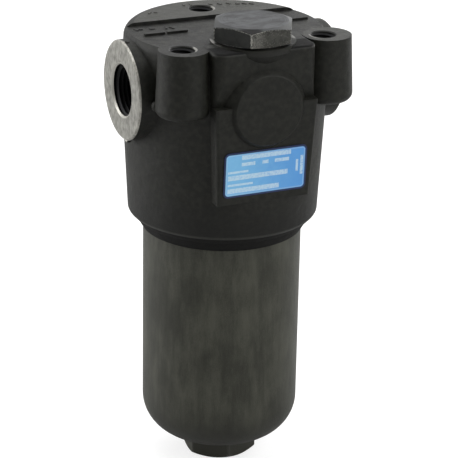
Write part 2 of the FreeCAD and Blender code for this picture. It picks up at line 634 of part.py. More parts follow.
def bowl():
    """The turned cup with its screwed nose, seal groove, rounded floor and hexagon foot."""
    body = new_body("bowl")
    shoulder = -d.shoulder
    land = d.seal_bore_radius - d.running_clearance
    screw = d.thread_radius - d.running_clearance
    land_top = -(d.seal_bore_top + d.shoulder_gap)
    groove = d.groove_low
    turned(body, "cup", [
        (0, -d.bowl_floor), (d.bowl_radius, -d.bowl_floor), (d.bowl_radius, shoulder), (land, shoulder),
        (land, groove), (d.groove_bottom_radius, groove), (d.groove_bottom_radius, groove + d.groove_width),
        (land, groove + d.groove_width), (land, land_top), (screw, land_top),
        (screw, -(d.bowl_nose + d.nose_chamfer)), (screw - d.nose_chamfer, -d.bowl_nose),
        (d.bowl_bore_radius, -d.bowl_nose), (d.bowl_bore_radius, -d.bowl_inside), (0, -d.bowl_inside)])
    softened(body, "Fillet", "outer_corner", lambda e: ring_edge(e, d.bowl_radius, -d.bowl_floor),
             d.bowl_round)
    softened(body, "Fillet", "inner_corner", lambda e: ring_edge(e, d.bowl_bore_radius, -d.bowl_inside),
             d.bowl_inner_round)
    foot_end = -(d.bowl_floor + d.foot_height)
    hexagon(body, "foot", d.foot_across_flats, foot_end, d.foot_height + d.bowl_floor_thickness / 2,
            d.foot_turn, ZERO, d.foot_chamfer, cut_at_top=False)
    return body


def seal_pair(o_ring_label, backup_label, groove_radius, bore_radius, groove_bottom, groove_width,
              backup_width, back=ZERO):
    """An O-ring with its square backup ring above it in one groove."""
    gap = d.seal_clearance
    outer = bore_radius - gap
    inner = groove_radius + gap
    section = (outer - inner) / 2
    room = groove_width - backup_width
    ring = new_body(o_ring_label, back)
    primitive(ring, "AdditiveTorus", "ring", (ZERO, ZERO, groove_bottom + room / 2),
              {"Radius1": (outer + inner) / 2, "Radius2": section})
    backup = new_body(backup_label, back)
    low = groove_bottom + room
    high = groove_bottom + groove_width - gap
    turned(backup, "ring", [(inner, low), (outer, low), (outer, high), (inner, high)])
    return [ring, backup]


def bowl_seals():
    """O-ring and backup ring in the bowl's groove."""
    return seal_pair("bowl_o_ring", "bowl_backup_ring", d.groove_bottom_radius, d.seal_bore_radius,
                     d.groove_low, d.groove_width, d.backup_width)


def indicator_plug():
    """Hexagon plug with a threaded shank and a sealed spigot."""
    body = new_body("indicator_plug", back=-d.plug_offset)
    head = d.seat_height + d.washer_gap
    shank = d.plug_bore_radius - d.running_clearance
    spigot = d.spigot_bore_radius - d.running_clearance
    shank_end = d.seat_height - d.plug_shank_length
    spigot_end = d.seat_height - d.spigot_length
    groove = d.spigot_groove_low
    turned(body, "shank", [
        (0, spigot_end), (spigot, spigot_end), (spigot, groove), (d.spigot_groove_radius, groove),
        (d.spigot_groove_radius, groove + d.spigot_groove_width), (spigot, groove + d.spigot_groove_width),
        (spigot, shank_end), (shank, shank_end), (shank, head + 1), (0, head + 1)])
    hexagon(body, "head", d.plug_across_flats, head, d.plug_head_height, d.plug_turn, d.plug_face_inset,
            d.plug_chamfer, cut_at_top=True)
    washer_land = d.washer_radius + d.washer_gap
    reach = d.plug_across_flats
    rise = (reach - washer_land) * d.underside_slope.tan()
    turned(body, "head_underside", [(washer_land, head), (reach, head), (reach, head + rise)], cut=True)
    return body


def plug_seals():
    """Seal washer under the plug's head, and the two rings on its spigot."""
    washer = new_body("plug_seal_washer", back=-d.plug_offset)
    low = d.seat_height + d.seal_clearance
    high = d.seat_height + d.washer_gap - d.seal_clearance
    turned(washer, "ring", [(d.washer_bore_radius, low), (d.washer_radius, low), (d.washer_radius, high),
                            (d.washer_bore_radius, high)])
    return [washer] + seal_pair("plug_spigot_o_ring", "plug_spigot_backup_ring", d.spigot_groove_radius,
                                d.spigot_bore_radius, d.spigot_groove_low, d.spigot_groove_width,
                                d.spigot_backup_width, back=-d.plug_offset)


def label_plate():
    """Thin plate with round corners, lying on the leaning face of the pad."""
    face = d.pad_front - (d.pad_top + d.label_depth) * d.pad_draft.tan()
    body = new_body("label_plate", back=-face, up=-d.label_depth)
    body.Placement = FreeCAD.Placement(body.Placement.Base, Rotation(Vector(1, 0, 0), d.pad_draft.value))
    bind(body, "Placement.Rotation.Angle", d.pad_draft)
    outline = sketch_on(body, "plate_outline", "XZ_Plane")
    wide = d.label_width / 2
    tall = d.label_height / 2
    polygon(outline, [(-wide, -tall), (wide, -tall), (wide, tall), (-wide, tall)])
    raised(body, "plate", outline, d.label_thickness)
    softened(body, "Fillet", "corners", lambda e: near(e.BoundBox.YLength, d.label_thickness)
             and e.BoundBox.XLength < 0.01 and e.BoundBox.ZLength < 0.01, d.label_corner)
    return body


def element_top_cap():
    """Pressed cap with the spigot that plugs into the head's stem."""
    body = new_body("element_top_cap")
    floor = d.core_top
    rim = floor - d.cap_rim_depth
    top = d.cap_top
    spigot = d.socket_radius - d.running_clearance
    spigot_top = top + d.element_spigot_length
    groove = top + d.element_groove_rise
    turned(body, "cap", [
        (d.element_bore_radius, floor), (d.cap_radius - d.cap_sheet, floor),
        (d.cap_radius - d.cap_sheet, rim), (d.cap_radius, rim), (d.cap_radius, top), (spigot, top),
        (spigot, groove),
        (d.element_groove_radius, groove), (d.element_groove_radius, groove + d.element_groove_width),
        (spigot, groove + d.element_groove_width), (spigot, spigot_top),
        (d.element_bore_radius, spigot_top)])
    return body


def element_spigot_o_ring():
    """O-ring in the groove of the element's spigot."""
    body = new_body("element_spigot_o_ring")
    outer = d.socket_radius - d.seal_clearance
    inner = d.element_groove_radius + d.seal_clearance
    middle = d.cap_top + d.element_groove_rise + d.element_groove_width / 2
    primitive(body, "AdditiveTorus", "ring", (ZERO, ZERO, middle),
              {"Radius1": (outer + inner) / 2, "Radius2": (outer - inner) / 2})
    return body


def bonds():
    """Resin disc in each cap, round the core tube."""
    inner = d.core_radius + d.seal_clearance
    outer = d.cap_radius - d.cap_sheet
    discs = []
    for label, low in (("element_top_bond", d.core_top - d.bond_depth),
                       ("element_bottom_bond", d.core_bottom)):
        disc = new_body(label)
        high = low + d.bond_depth
        turned(disc, "disc", [(inner, low), (outer, low), (outer, high), (inner, high)])
        discs.append(disc)
    return discs


def element_core_tube():
    """Perforated tube from cap to cap."""
    body = new_body("element_core_tube")
    top = d.core_top
    bottom = d.core_bottom
    bore = d.core_radius - d.core_sheet
    turned(body, "tube", [(bore, bottom), (d.core_radius, bottom), (d.core_radius, top), (bore, top)])
    outline = sketch_on(body, "hole_row", "XZ_Plane")
    for row in range(CORE_ROWS):
        circle(outline, ZERO, top - d.core_hole_margin - d.core_hole_pitch * row, d.core_hole_radius)
    holes = raised(body, "holes", outline, d.core_radius * 3, cut=True, both_ways=True)
    around = body.newObject("PartDesign::PolarPattern", "holes_around")
    around.Originals = [holes]
    around.Axis = (next(f for f in body.Origin.OriginFeatures if f.Role == "Z_Axis"), [""])
    around.Angle = 180 - 180 / CORE_HOLE_PAIRS
    around.Occurrences = CORE_HOLE_PAIRS
    body.Tip = around
    return body


def pleat_outline(shift):
    """Corners of one face of the pleats, moved out by a shift: broad at each fold, straight between."""
    peak = d.pleat_peak_radius.value + shift
    valley = d.pleat_valley_radius.value + shift
    count = round(2 * math.pi * d.pleat_peak_radius.value / d.pleat_pitch.value)
    step = 2 * math.pi / count
    peak_half = step * d.pleat_peak_share.value / 2 + shift / peak
    valley_half = step * d.pleat_valley_share.value / 2 - shift / valley
    corners = []
    for pleat in range(count):
        middle = step * pleat
        corners += [(valley, middle - step / 2 + valley_half), (peak, middle - peak_half),
                    (peak, middle + peak_half), (valley, middle + step / 2 - valley_half)]
    return [Vector(r * math.cos(a), r * math.sin(a), 0) for r, a in corners]


def pleated_layers():
    """Inner mesh, medium and outer mesh, folded together and lying on each other."""
    top = d.core_top - d.bond_depth
    bottom = d.core_bottom + d.bond_depth
    layers = []
    for number, label in enumerate(("element_inner_mesh", "element_media", "element_outer_mesh")):
        inner = -d.pleat_layer.value * (3 - number)
        walls = [Part.makePolygon(corners + corners[:1]) for corners in
                 (pleat_outline(inner + d.pleat_layer.value), pleat_outline(inner))]
        sheet_face = Part.makeFace(walls, "Part::FaceMakerBullseye")
        layer = document.addObject("Part::Feature", label)
        layer.Label = label
        layer.Shape = sheet_face.extrude(Vector(0, 0, top.value - bottom.value))
        bind(layer, "Placement.Base.y", d.bowl_axis_offset)
        bind(layer, "Placement.Base.z", bottom - d.face_height)
        layers.append(layer)
    return layers


def element_bottom_cap():
    """Pressed cap with the hole and conical seat of the bypass valve."""
    body = new_body("element_bottom_cap")
    under = d.cap_under
    floor = d.core_bottom
    rim = floor + d.cap_rim_depth
    turned(body, "cap", [
        (d.valve_hole_radius, under), (d.cap_radius, under), (d.cap_radius, rim),
        (d.cap_radius - d.cap_sheet, rim),
        (d.cap_radius - d.cap_sheet, floor), (d.valve_hole_radius + d.valve_seat_width, floor),
        (d.valve_hole_radius, floor - d.valve_seat_width)])
    return body


def bypass_poppet():
    """Poppet with a conical edge and a guiding stem."""
    body = new_body("bypass_poppet")
    under = d.poppet_under
    top = d.poppet_top
    stem_top = d.bridge_low + d.bridge_thickness + d.poppet_stem_end
    edge = d.valve_hole_radius + d.valve_gap
    rise = d.valve_seat_width - d.valve_gap
    turned(body, "poppet", [
        (0, under), (edge, under), (edge + rise, under + rise), (edge + rise, top),
        (d.poppet_stem_radius, top), (d.poppet_stem_radius, stem_top), (0, stem_top)])
    return body


def bypass_spring():
    """Round wire wound from the poppet up to the bridge."""
    wire = d.spring_wire_radius + d.seal_clearance
    rise = d.spring_length - wire * 2
    coil = document.addObject("Part::Helix", "spring_coil")
    bind(coil, "Radius", d.spring_radius)
    bind(coil, "Pitch", rise / d.spring_turns)
    bind(coil, "Height", rise)
    section = document.addObject("Part::Circle", "spring_section")
    section.Placement = FreeCAD.Placement(Vector(0, 0, 0), Rotation(Vector(1, 0, 0), 90))
    bind(section, "Radius", d.spring_wire_radius)
    bind(section, "Placement.Base.x", d.spring_radius)
    spring = document.addObject("Part::Sweep", "bypass_spring")
    spring.Label = "bypass_spring"
    spring.Sections = [section]
    spring.Spine = (coil, ["Edge1"])
    spring.Solid = True
    spring.Frenet = True
    bind(spring, "Placement.Base.y", d.bowl_axis_offset)
    bind(spring, "Placement.Base.z", d.poppet_top + wire - d.face_height)
    return spring


def bypass_bridge():
    """Disc across the core tube with a guide hole and flow holes."""
    body = new_body("bypass_bridge")
    low = d.bridge_low
    high = low + d.bridge_thickness
    guide = d.poppet_stem_radius + d.running_clearance
    turned(body, "disc", [(guide, low), (d.bridge_radius, low), (d.bridge_radius, high), (guide, high)])
    outline = sketch_on(body, "flow_holes_outline", "XY_Plane", high)
    for number in range(BRIDGE_HOLES):
        angle = 2 * math.pi * (number + 0.5) / BRIDGE_HOLES
        circle(outline, d.bridge_hole_circle * math.cos(angle), d.bridge_hole_circle * math.sin(angle),
               d.bridge_hole_radius)
    raised(body, "flow_holes", outline, d.bridge_thickness * 2, cut=True)
    return body


def check_and_write(pieces):
    """Stop at any failed object, then write one file for each piece."""
    document.recompute()
    for thing in document.Objects:
        if "Invalid" in thing.State or "Error" in thing.State:
            raise ValueError(f"{thing.Label}: {thing.State}")
    for piece in pieces:
        if piece.Shape.isNull() or not piece.Shape.isValid() or not piece.Shape.Solids:
            raise ValueError(f"{piece.Label}: the shape is null, open or not valid")
    os.makedirs("parts", exist_ok=True)
    for piece in pieces:
        piece.Shape.exportStep(os.path.join("parts", piece.Label + ".step"))
        box = piece.Shape.BoundBox
        print(f"{piece.Label:26s} solids {len(piece.Shape.Solids)} volume {piece.Shape.Volume:10.1f} "
              f"z {box.ZMin:8.2f} to {box.ZMax:8.2f} width {box.XLength:6.2f} depth {box.YLength:6.2f}")


pieces = [filter_head(), bowl(), indicator_plug(), label_plate(), element_top_cap(),
          element_spigot_o_ring(), element_core_tube(), element_bottom_cap(), bypass_poppet(),
          bypass_spring(), bypass_bridge()]
pieces += bowl_seals() + plug_seals() + bonds() + pleated_layers()
check_and_write(pieces)
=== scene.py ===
"""In-line hydraulic pressure filter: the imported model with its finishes, threads and small surface detail.

Lengths in this file are millimetres from the bowl's axis and the port axis, unless a line says otherwise.
Meshes are written in metres, in the row frame.
"""
import math

import bpy
import numpy as np
from mathutils import Matrix, Vector


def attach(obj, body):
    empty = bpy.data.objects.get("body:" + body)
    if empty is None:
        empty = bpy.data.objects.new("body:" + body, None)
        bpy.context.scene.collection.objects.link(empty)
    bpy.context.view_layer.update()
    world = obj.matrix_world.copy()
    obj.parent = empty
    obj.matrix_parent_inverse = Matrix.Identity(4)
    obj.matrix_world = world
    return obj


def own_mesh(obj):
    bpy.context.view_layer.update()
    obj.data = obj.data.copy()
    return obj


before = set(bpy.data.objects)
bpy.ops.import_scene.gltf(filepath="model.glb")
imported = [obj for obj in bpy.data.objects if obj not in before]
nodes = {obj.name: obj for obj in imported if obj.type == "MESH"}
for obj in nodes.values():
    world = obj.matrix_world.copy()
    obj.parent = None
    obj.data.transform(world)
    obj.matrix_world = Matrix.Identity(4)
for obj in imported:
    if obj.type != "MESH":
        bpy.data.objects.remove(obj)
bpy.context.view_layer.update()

# Camera
# Stands in front, to the left and a little above, as the photograph shows. The angles, the distance and
# the aim are fitted to the port ring, the bowl and the hexagons.
AZIMUTH = math.radians(24.36)
ELEVATION = math.radians(21.52)
ROLL = math.radians(1.04)
DISTANCE = 0.86605
FOCAL_PIXELS = 2067.09
HALF_PIXEL = 0.5 * DISTANCE / FOCAL_PIXELS
AXIS_PLACE = Vector((0.0, 0.0102, -0.023))

forward = Vector((math.sin(AZIMUTH) * math.cos(ELEVATION), math.cos(AZIMUTH) * math.cos(ELEVATION),
                  -math.sin(ELEVATION)))
level = Vector((math.cos(AZIMUTH), -math.sin(AZIMUTH), 0.0))
upward = level.cross(forward)
aim = level * (0.00323 - HALF_PIXEL) + upward * HALF_PIXEL + Vector((0.0, 0.0, -0.06617)) + AXIS_PLACE
eye = aim - forward * DISTANCE
right = level * math.cos(ROLL) + upward * math.sin(ROLL)
top = upward * math.cos(ROLL) - level * math.sin(ROLL)
camera_data = bpy.data.cameras.new("camera")
camera_data.sensor_width = 36.0
camera_data.lens = FOCAL_PIXELS / 458 * 36.0
camera_data.clip_start = 0.05
camera_data.clip_end = 20.0
camera = bpy.data.objects.new("camera", camera_data)
camera.matrix_world = Matrix(((right.x, top.x, -forward.x, eye.x), (right.y, top.y, -forward.y, eye.y),
                              (right.z, top.z, -forward.z, eye.z), (0, 0, 0, 1)))
bpy.context.scene.collection.objects.link(camera)
bpy.context.scene.camera = camera
bpy.context.scene.view_settings.view_transform = "Standard"


# Studio
# A pale floor that reads as plain white, a light room that is dimmer on the camera's side, and four
# soft boxes: one to each side, one over the top face and the main one high at the front right.
class Field:
    """One value over a surface, taken from a node, that can be used in sums."""

    def __init__(self, tree, socket):
        self.tree = tree
        self.socket = socket

    def node(self, kind, inputs, output=0, **settings):
        """Any other node of the tree, fed from numbers, colours or fields."""
        made = self.tree.nodes.new("ShaderNode" + kind)
        for name, setting in settings.items():
            setattr(made, name, setting)
        for name, value in inputs.items():
            if isinstance(value, Field):
                self.tree.links.new(value.socket, made.inputs[name])
            else:
                made.inputs[name].default_value = value
        return Field(self.tree, made.outputs[output])

    def math(self, operation, *others):
        """A Math node of this field and any others."""
        return self.node("Math", dict(enumerate((self,) + others)), operation=operation)

    def __add__(self, other):
        return self.math("ADD", other)

    def __sub__(self, other):
        return self.math("SUBTRACT", other)

    def __mul__(self, other):
        return self.math("MULTIPLY", other)

    def __truediv__(self, other):
        return self.math("DIVIDE", other)

    def __radd__(self, other):
        return self.math("ADD", other)

    def __rmul__(self, other):
        return self.math("MULTIPLY", other)

    def __rsub__(self, other):
        return self.node("Math", {0: other, 1: self}, operation="SUBTRACT")

    def ramp(self, low, high):
        """0 below low, 1 above high, smooth between."""
        return self.node("MapRange", {0: self, 1: low, 2: high}, interpolation_type="SMOOTHSTEP")

    def band(self, low, high, soft):
        """1 between low and high, 0 outside, with soft edges."""
        return self.ramp(low - soft, low) * (1.0 - self.ramp(high, high + soft))

    def mix(self, first, second):
        """The first colour where this field is 0, the second where it is 1."""
        colours = [c if isinstance(c, Field) else (*c, 1.0) for c in (first, second)]
        return self.node("Mix", {0: self, 6: colours[0], 7: colours[1]}, output=2, data_type="RGBA")


world = bpy.data.worlds.new("studio")
world.use_nodes = True
bpy.context.scene.world = world
tree = world.node_tree
tree.nodes.clear()
sky = tree.nodes.new("ShaderNodeOutputWorld")
start = Field(tree, tree.nodes.new("ShaderNodeTexCoord").outputs["Generated"])
facing = start.node("SeparateXYZ", {0: start}, output=1)
behind = facing.ramp(-0.45, 0.75)
room = start.node("Background", {"Color": behind.mix((0.14, 0.14, 0.13), (1.0, 1.0, 1.0)), "Strength": 1.0})
seen = start.node("Background", {"Color": (1.0, 1.0, 1.0, 1.0), "Strength": 1.0})
ray = start.node("LightPath", {}, output="Is Camera Ray")
tree.links.new(start.node("MixShader", {0: ray, 1: room, 2: seen}).socket, sky.inputs["Surface"])

FLOOR_HEIGHT = -0.1893
floor_mesh = bpy.data.meshes.new("floor")
floor_corners = [(-6, -6), (6, -6), (6, 6), (-6, 6)]
floor_mesh.from_pydata([(x, y, FLOOR_HEIGHT) for x, y in floor_corners], [], [(0, 1, 2, 3)])
floor = bpy.data.objects.new("floor", floor_mesh)
bpy.context.scene.collection.objects.link(floor)
floor_finish = bpy.data.materials.new("floor")
floor_finish.use_nodes = True
tree = floor_finish.node_tree
tree.nodes.clear()
surface = tree.nodes.new("ShaderNodeOutputMaterial")
rays = tree.nodes.new("ShaderNodeLightPath")
looked_at = Field(tree, rays.outputs["Is Camera Ray"])
glow = looked_at.node("Emission", {"Color": (0.74, 0.74, 0.74, 1.0), "Strength": 1.0})
pale = looked_at.node("BsdfDiffuse", {"Color": (0.5, 0.5, 0.5, 1.0)})
matt = looked_at.node("BsdfDiffuse", {"Color": (0.4, 0.4, 0.4, 1.0)})
plain = looked_at.node("AddShader", {0: glow, 1: matt})
floor_shader = looked_at.node("MixShader", {0: looked_at, 1: pale, 2: plain})
tree.links.new(floor_shader.socket, surface.inputs["Surface"])
floor_mesh.materials.append(floor_finish)

for name, place, size, watts in (("left_box", (-1.2, 0.75, 0.25), (0.9, 1.3), 14.0),
                                 ("right_box", (1.2, 0.75, 0.25), (0.9, 1.3), 13.0),
                                 ("top_box", (-0.1, 0.1, 1.1), (1.2, 1.2), 6.0),
                                 ("main_box", (0.75, -1.15, 0.95), (1.3, 1.3), 19.0)):
    light = bpy.data.lights.new(name, "AREA")
    light.shape = "RECTANGLE"
    light.size, light.size_y = size
    light.energy = watts
    lamp = bpy.data.objects.new(name, light)
    lamp.location = place
    lamp.rotation_euler = (Vector((0, 0, -0.07)) - Vector(place)).to_track_quat("-Z", "Y").to_euler()
    bpy.context.scene.collection.objects.link(lamp)


# Head: finish
# Sand-cast iron, black phosphated: matt, with a fine grain and shallow waves. The port faces, the bosses'
# tops, the plug's seat and the bores are machined bare; the faces on top are rubbed a little lighter in
# patches.
# Light and shade are painted into the colour as well: a sheen on the rear of the top face; shade on the deck,
# the neck's ledge, the bores, most of the seat, the collar and the lower skirt; highlights at the seat's
# ends, on one side of each hole's edge and along the rim; an even tone on the plug boss's front; and a
# gradient of light across the bosses' tops.
FACE_HEIGHT = 23.0
AXIS_BACK = 10.2
PORT_FACE = 44.9
PORT_RING = 19.7
PORT_THREAD_RADIUS = 10.48
SEAT_HEIGHT = 23.9
PLUG_OFFSET = 26.85
HOLES = [(0.0, 24.8, 1), (-30.311, -27.7, 1), (30.311, -27.7, -1)]
BOSSES = [(-29.811, -27.7), (31.911, -27.7)]
BOSS_FACE = 9.3
IRON_DARK = (0.0058, 0.0061, 0.0040)
IRON_PALE = (0.0130, 0.0134, 0.0096)
RUBBED_AND_SHEEN = (0.048, 0.048, 0.042)
BARE = (0.47, 0.46, 0.42)
BARE_DULL = (0.17, 0.168, 0.15)


class Finish:
    """A material with its surface shader, and the coordinates of the object in millimetres."""

    def __init__(self, name, **constants):
        self.material = bpy.data.materials.new(name)
        self.material.use_nodes = True
        self.tree = self.material.node_tree
        self.tree.nodes.clear()
        self.shader = self.tree.nodes.new("ShaderNodeBsdfPrincipled")
        output = self.tree.nodes.new("ShaderNodeOutputMaterial")
        self.tree.links.new(self.shader.outputs[0], output.inputs["Surface"])
        for name, value in constants.items():
            self.shader.inputs[name.replace("_", " ").title().replace("Ior", "IOR")].default_value = value
        metres = Field(self.tree, self.tree.nodes.new("ShaderNodeTexCoord").outputs["Object"])
        self.at = metres.node("VectorMath", {0: metres, "Scale": 1000.0}, operation="SCALE")
        self.at = self.at.node("VectorMath", {0: self.at, 1: (0.0, -AXIS_BACK, FACE_HEIGHT)}, operation="ADD")
        self.x, self.y, self.z = (self.at.node("SeparateXYZ", {0: self.at}, output=i) for i in range(3))

    def noise(self, scale, stretch=(1.0, 1.0, 1.0), detail=3.0, roughness=0.5, seed=(0.0, 0.0, 0.0)):
        """Noise from 0 to 1; scale is in features per millimetre, and stretch is a factor on each axis."""
        place = self.at.node("VectorMath", {0: self.at, 1: stretch, 2: seed}, operation="MULTIPLY_ADD")
        return self.at.node("TexNoise", {"Vector": place, "Scale": scale, "Detail": detail,
                                         "Roughness": roughness})

    def around(self, across, along, radius_from="z"):
        """Distance from a line along an axis through a place given on the two other axes."""
        first, second = {"z": (self.x, self.y), "x": (self.y, self.z), "y": (self.x, self.z)}[radius_from]
        a = first - across
        b = second - along
        return (a * a + b * b).math("SQRT")

    def feed(self, **inputs):
        """Fields into the shader's sockets; bump is a height in millimetres."""
        for name, field in inputs.items():
            if name == "bump":
                lifted = field.node("Bump", {"Height": field, "Distance": 0.001, "Strength": 1.0})
                self.tree.links.new(lifted.socket, self.shader.inputs["Normal"])
            else:
                self.tree.links.new(field.socket, self.shader.inputs[name.replace("_", " ").title()])
        return self.material


def wear(node, finish):
    """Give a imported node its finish."""
    mesh = nodes[node].data
    mesh.materials.clear()
    mesh.materials.append(finish)


iron = Finish("cast_iron", specular_ior_level=0.32)
side = iron.x.math("ABSOLUTE")
port_radius = iron.around(0.0, 0.0, "x")
port_wall = side.ramp(26.0, 26.1) * (1.0 - port_radius.ramp(11.2, 11.25))
port_face = side.ramp(PORT_FACE - 0.12, PORT_FACE - 0.08)
port_edge = side.ramp(PORT_FACE - 0.7, PORT_FACE - 0.62) * port_radius.ramp(PORT_RING - 0.3, PORT_RING - 0.05)
port_lip = side.ramp(PORT_FACE - 0.75, PORT_FACE - 0.7) * (1.0 - port_radius.ramp(11.25, 11.35))
on_face = iron.z.ramp(FACE_HEIGHT - 0.06, FACE_HEIGHT - 0.03)
bosses = iron.z * 0.0
for boss_x, boss_y in BOSSES:
    boss_top = (1.0 - iron.around(boss_x, boss_y).ramp(BOSS_FACE, BOSS_FACE + 0.3)) * on_face
    bosses = bosses.math("MAXIMUM", boss_top)
lips = iron.z * 0.0
gleams = iron.z * 0.0
for hole_x, hole_y, gleam_side in HOLES:
    hole = iron.around(hole_x, hole_y)
    lip = (1.0 - hole.ramp(5.45, 5.5)) * iron.z.ramp(FACE_HEIGHT - 0.5, FACE_HEIGHT - 0.4)
    lips = lips.math("MAXIMUM", lip)
    bright = ((iron.x - hole_x) * gleam_side - (iron.y - hole_y) * 0.3).ramp(4.2, 5.2)
    gleam = hole.band(4.95, 5.7, 0.25) * bright * iron.z.ramp(FACE_HEIGHT - 0.5, FACE_HEIGHT - 0.4)
    gleams = gleams.math("MAXIMUM", gleam)
    bosses = bosses * (1.0 - (1.0 - hole.ramp(5.05, 5.1)) * (1.0 - on_face))
plug_radius = iron.around(0.0, -PLUG_OFFSET)
seat = iron.z.ramp(SEAT_HEIGHT - 0.1, SEAT_HEIGHT - 0.05) * (1.0 - plug_radius.ramp(17.3, 17.4))
rear = iron.z.ramp(FACE_HEIGHT - 0.05, FACE_HEIGHT - 0.02) * iron.y.ramp(13.9, 14.0)
upper = iron.z.ramp(21.3, 21.5) * iron.y.ramp(-33.5, -32.5) * plug_radius.ramp(17.1, 17.3)
in_front = 1.0 - iron.y.ramp(-32.0, -30.0)
ledge_shade = iron.z.ramp(22.6, 22.9) * in_front * plug_radius.ramp(17.05, 17.15)
ledge_shade = ledge_shade * (1.0 - side.ramp(20.5, 22.0))
under_seat = iron.z.band(17.0, 22.5, 1.0) * (1.0 - plug_radius.ramp(16.9, 17.3))
under_seat = under_seat * (1.0 - iron.y.ramp(-41.6, -41.4))
inner = (1.0 - iron.around(0.0, 0.0).ramp(32.4, 32.5)) * (1.0 - iron.z.ramp(-27.5, -27.4))
grain = iron.noise(2.2, detail=4.0, roughness=0.6)
sand = iron.noise(5.5, detail=2.0, seed=(40.0, 7.0, 3.0))
waves = iron.noise(0.12, detail=2.0, seed=(3.0, 9.0, 1.0))
patches = iron.noise(0.45, detail=3.0, seed=(8.0, 2.0, 5.0))
cast = patches.ramp(0.35, 0.7).mix(IRON_DARK, IRON_PALE)
rub = (patches * 0.6 + grain * 0.4).ramp(0.3, 0.75)
cast = (upper * (0.02 + rub * 0.30)).mix(cast, RUBBED_AND_SHEEN)
# Painted sheen: the rear of the top face is coloured lighter all over, with rubbed patches in it.
cast = (rear * (0.45 + rub * 0.5)).mix(cast, RUBBED_AND_SHEEN)
# Painted shade: the neck's ledge in front of the plug boss is coloured near black.
cast = ledge_shade.mix(cast, (0.001, 0.001, 0.001))
# Painted light: the front of the plug boss under the seat takes one flat tone, as pale as the palest cast,
# which evens out its shading.
cast = under_seat.mix(cast, (0.013, 0.013, 0.011))
# Painted shade: the deck, ahead of the rear of the top face, is darkened nearly to black in patches.
deck_shade_patches = iron.noise(0.28, detail=4.0, roughness=0.6, seed=(2.0, 5.0, 8.0)).ramp(0.40, 0.58)
cast = (upper * (1.0 - rear) * (0.9 - deck_shade_patches * 0.75)).mix(cast, (0.0015, 0.0015, 0.0012))
# Painted shade: the collar under the head's lower rim is coloured near black.
collar_shade = 1.0 - iron.z.ramp(-56.0, -55.4)
cast = collar_shade.mix(cast, (0.0012, 0.0012, 0.0010))
# Painted highlight: a lighter band, broken by the grain, along the rounded edge of the lower rim.
rim_highlight = iron.z.band(-55.4, -54.6, 0.5) * (0.3 + grain * 0.7)
cast = rim_highlight.mix(cast, (0.040, 0.040, 0.034))
specks = iron.noise(1.3, detail=4.0, roughness=0.75, seed=(11.0, 3.0, 6.0)).ramp(0.66, 0.74)
cast = (specks * (1.0 - collar_shade) * 0.5).mix(cast, (0.075, 0.075, 0.066))
# Painted shade: the head darkens towards its lower rim.
skirt_shade = 1.0 - iron.z.ramp(-54.0, -36.0)
cast = (skirt_shade * (1.0 - rim_highlight) * 0.7).mix(cast, (0.0022, 0.0022, 0.0016))
turn_marks = iron.at.node("TexNoise", {"W": port_radius * 3.0, "Scale": 1.0, "Detail": 3.0},
                          noise_dimensions="1D")
brushed = iron.noise(1.5, stretch=(1.0, 1.0, 0.16), detail=4.0, roughness=0.65, seed=(1.0, 6.0, 2.0))
bare = (brushed * 0.55 + patches * 0.35 + turn_marks * 0.1 + port_lip * 0.3).ramp(0.33, 0.68)
bare = bare.mix(BARE_DULL, BARE)
# Painted shade: the bare wall inside each port bore is coloured near black.
bore_shade = port_wall * (1.0 - side.ramp(PORT_FACE - 0.85, PORT_FACE - 0.7))
bare = bore_shade.mix(bare, (0.009, 0.009, 0.010))
metal = port_face.math("MAXIMUM", port_wall).math("MAXIMUM", port_edge)
colour = metal.mix(cast, bare)
# The bosses' tops are rubbed in patches, with painted light that grows from dark on the left to lighter on
# the right; their metallic rises the same way.
tops_rub_and_sheen = iron.x.ramp(-20.0, 20.0).mix((0.008, 0.008, 0.007), (0.040, 0.040, 0.035))
colour = (bosses * (0.35 + rub * 0.6)).mix(colour, tops_rub_and_sheen)
colour = (lips * 0.9).mix(colour, (0.011, 0.011, 0.010))
# Painted highlight: a pale glint on one side of each hole's edge, also made metallic.
colour = gleams.mix(colour, (0.28, 0.275, 0.255))
# Painted shade: the machined seat is coloured as dark as the cast. Its two ends, left and right of the plug,
# carry painted highlights of pale bare metal and are made metallic.
colour = seat.mix(colour, IRON_DARK)
seat_ends = seat * (iron.x.math("ABSOLUTE") + (grain - 0.5) * 3.0).ramp(14.9, 15.9)
seat_ends = seat_ends * (iron.y + PLUG_OFFSET).ramp(-6.0, -3.0)
colour = seat_ends.mix(colour, (0.22, 0.215, 0.20))
colour = inner.mix(colour, (0.25, 0.245, 0.23))
shine = metal.math("MAXIMUM", seat_ends).math("MAXIMUM", inner).math("MAXIMUM", gleams)
shine = shine.math("MAXIMUM", bosses * iron.x.ramp(-20.0, 20.0) * 0.25)
cast_rough = 0.55 + (grain - 0.5) * 0.25 + ledge_shade * 0.35 + collar_shade * 0.35
rough = cast_rough * (1.0 - shine) + (0.32 + turn_marks * 0.2) * shine
height = (grain - 0.5) * 0.10 + (sand - 0.5) * 0.05 + (waves - 0.5) * 0.5
height = height * (1.0 - shine) + turn_marks * 0.006 * metal
wear("filter_head", iron.feed(base_color=colour, metallic=shine * 0.9, roughness=rough, bump=height))

# Head: threads of the two ports and the three mounting holes
# Each bore is drawn at its thread's major diameter, so the thread is a ridge wound round the inside of it.
PORT_PITCH = 1.814
PORT_CREST = 9.32
PORT_THREAD_ENDS = (28.7, 43.4)
HOLE_ROOT = 5.0
HOLE_CREST = 4.25
HOLE_PITCH = 1.5
HOLE_THREAD_ENDS = (6.2, 22.3)


